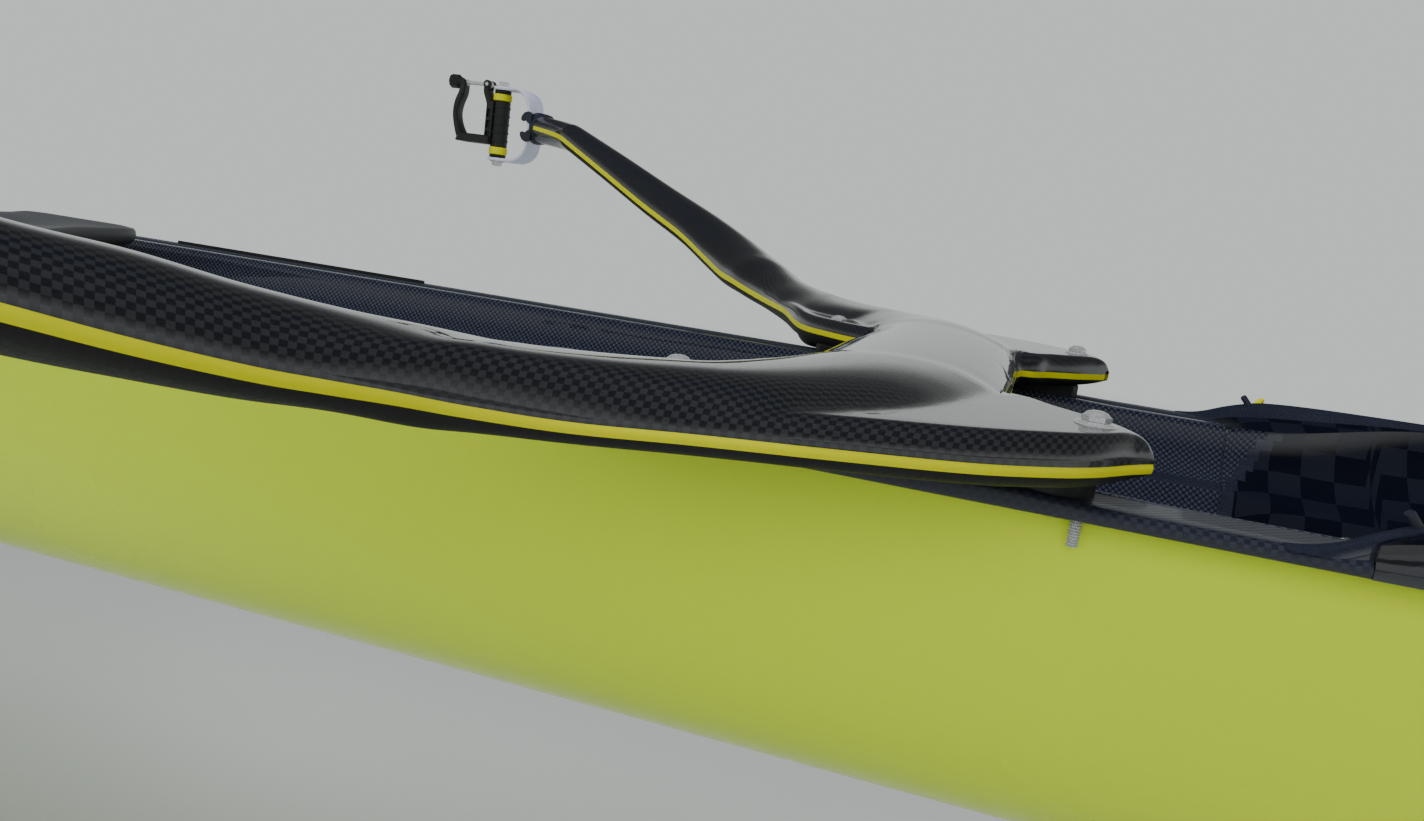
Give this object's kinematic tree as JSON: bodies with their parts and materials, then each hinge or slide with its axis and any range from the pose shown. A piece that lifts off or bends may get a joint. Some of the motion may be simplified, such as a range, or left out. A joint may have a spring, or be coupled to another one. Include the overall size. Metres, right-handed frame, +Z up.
{
  "type": "racing double scull",
  "caption": "Slender racing shell for two scullers, with sliding seats, stretchers and carbon wing riggers that carry swivelling oar gates.",
  "frame": {"origin": "amidships on the centreline, at the waterline with two scullers aboard", "axes": "+X to the bow, +Y to port, +Z up"},
  "size_m": [10.3004, 1.65, 0.6097],
  "materials": {
    "shell": "clear-coated yellow-green laminate",
    "carbon": "clear-coated twill carbon",
    "lining": "coarse woven carbon under thin resin",
    "moulding": "glossy spread-tow carbon",
    "plastic": "moulded, fine grain",
    "silver": "silver anodised",
    "steel": "stainless, turned",
    "rubber": "white rubber",
    "seat": "moulded seat shell, satin",
    "shoe": "synthetic upper on a rubber sole"
  },
  "bodies": {
    "boat": {"hull_shell": "shell", "bow_deck": "moulding", "stern_deck": "moulding", "gunwale_port": "carbon", "gunwale_starboard": "carbon", "cockpit_liner": "lining", "bow_coaming": "moulding", "stern_coaming": "moulding", "bow_ball": "rubber", "fin": "plastic", "wing_bow": "carbon", "bracket_bow_port": "silver", "bracket_bow_starboard": "silver", "pin_bow_port": "steel", "pin_bow_starboard": "steel", "track_bow_port": "silver", "track_bow_starboard": "silver", "wing_stroke": "carbon", "bracket_stroke_port": "silver", "bracket_stroke_starboard": "silver", "pin_stroke_port": "steel", "pin_stroke_starboard": "steel", "track_stroke_port": "silver", "track_stroke_starboard": "silver"},
    "gate_bow_port": {"gate_bow_port": "plastic"},
    "gate_bow_starboard": {"gate_bow_starboard": "plastic"},
    "gate_stroke_port": {"gate_stroke_port": "plastic"},
    "gate_stroke_starboard": {"gate_stroke_starboard": "plastic"},
    "keeper_bow_port": {"keeper_bow_port": "steel"},
    "keeper_bow_starboard": {"keeper_bow_starboard": "steel"},
    "keeper_stroke_port": {"keeper_stroke_port": "steel"},
    "keeper_stroke_starboard": {"keeper_stroke_starboard": "steel"},
    "seat_bow": {"seat_bow": "seat"},
    "seat_stroke": {"seat_stroke": "seat"},
    "axle_bow_fore": {"axle_bow_fore": "plastic"},
    "axle_bow_aft": {"axle_bow_aft": "plastic"},
    "axle_stroke_fore": {"axle_stroke_fore": "plastic"},
    "axle_stroke_aft": {"axle_stroke_aft": "plastic"},
    "stretcher_bow": {"stretcher_bow": "carbon", "shoe_bow_port": "shoe", "shoe_bow_starboard": "shoe"},
    "stretcher_stroke": {"stretcher_stroke": "carbon", "shoe_stroke_port": "shoe", "shoe_stroke_starboard": "shoe"}
  },
  "joints": [
    {"name": "gate_bow_port_swivel", "type": "hinge", "parent": "boat", "child": "gate_bow_port", "pos_m": [0.42, 0.8, 0.368], "axis": [0, 0, 1], "range_deg": [-80, 80]},
    {"name": "gate_bow_starboard_swivel", "type": "hinge", "parent": "boat", "child": "gate_bow_starboard", "pos_m": [0.42, -0.8, 0.368], "axis": [0, 0, 1], "range_deg": [-80, 80]},
    {"name": "gate_stroke_port_swivel", "type": "hinge", "parent": "boat", "child": "gate_stroke_port", "pos_m": [-1.04, 0.8, 0.368], "axis": [0, 0, 1], "range_deg": [-80, 80]},
    {"name": "gate_stroke_starboard_swivel", "type": "hinge", "parent": "boat", "child": "gate_stroke_starboard", "pos_m": [-1.04, -0.8, 0.368], "axis": [0, 0, 1], "range_deg": [-80, 80]},
    {"name": "keeper_bow_port_hinge", "type": "hinge", "parent": "gate_bow_port", "child": "keeper_bow_port", "pos_m": [0.395, 0.8, 0.428], "axis": [0, 1, 0], "range_deg": [0, 110]},
    {"name": "keeper_bow_starboard_hinge", "type": "hinge", "parent": "gate_bow_starboard", "child": "keeper_bow_starboard", "pos_m": [0.395, -0.8, 0.428], "axis": [0, 1, 0], "range_deg": [0, 110]},
    {"name": "keeper_stroke_port_hinge", "type": "hinge", "parent": "gate_stroke_port", "child": "keeper_stroke_port", "pos_m": [-1.065, 0.8, 0.428], "axis": [0, 1, 0], "range_deg": [0, 110]},
    {"name": "keeper_stroke_starboard_hinge", "type": "hinge", "parent": "gate_stroke_starboard", "child": "keeper_stroke_starboard", "pos_m": [-1.065, -0.8, 0.428], "axis": [0, 1, 0], "range_deg": [0, 110]},
    {"name": "seat_bow_slide", "type": "slide", "parent": "boat", "child": "seat_bow", "axis": [1, 0, 0], "range_m": [0, 0.65]},
    {"name": "seat_stroke_slide", "type": "slide", "parent": "boat", "child": "seat_stroke", "axis": [1, 0, 0], "range_m": [0, 0.65]},
    {"name": "axle_bow_fore_spin", "type": "hinge", "parent": "seat_bow", "child": "axle_bow_fore", "pos_m": [0.345, 0, 0.10635], "axis": [0, 1, 0], "continuous": true},
    {"name": "axle_bow_aft_spin", "type": "hinge", "parent": "seat_bow", "child": "axle_bow_aft", "pos_m": [0.225, 0, 0.10635], "axis": [0, 1, 0], "continuous": true},
    {"name": "axle_stroke_fore_spin", "type": "hinge", "parent": "seat_stroke", "child": "axle_stroke_fore", "pos_m": [-1.115, 0, 0.10635], "axis": [0, 1, 0], "continuous": true},
    {"name": "axle_stroke_aft_spin", "type": "hinge", "parent": "seat_stroke", "child": "axle_stroke_aft", "pos_m": [-1.235, 0, 0.10635], "axis": [0, 1, 0], "continuous": true},
    {"name": "stretcher_bow_slide", "type": "slide", "parent": "boat", "child": "stretcher_bow", "axis": [1, 0, 0], "range_m": [-0.04, 0.05]},
    {"name": "stretcher_stroke_slide", "type": "slide", "parent": "boat", "child": "stretcher_stroke", "axis": [1, 0, 0], "range_m": [-0.04, 0.05]}
  ]
}
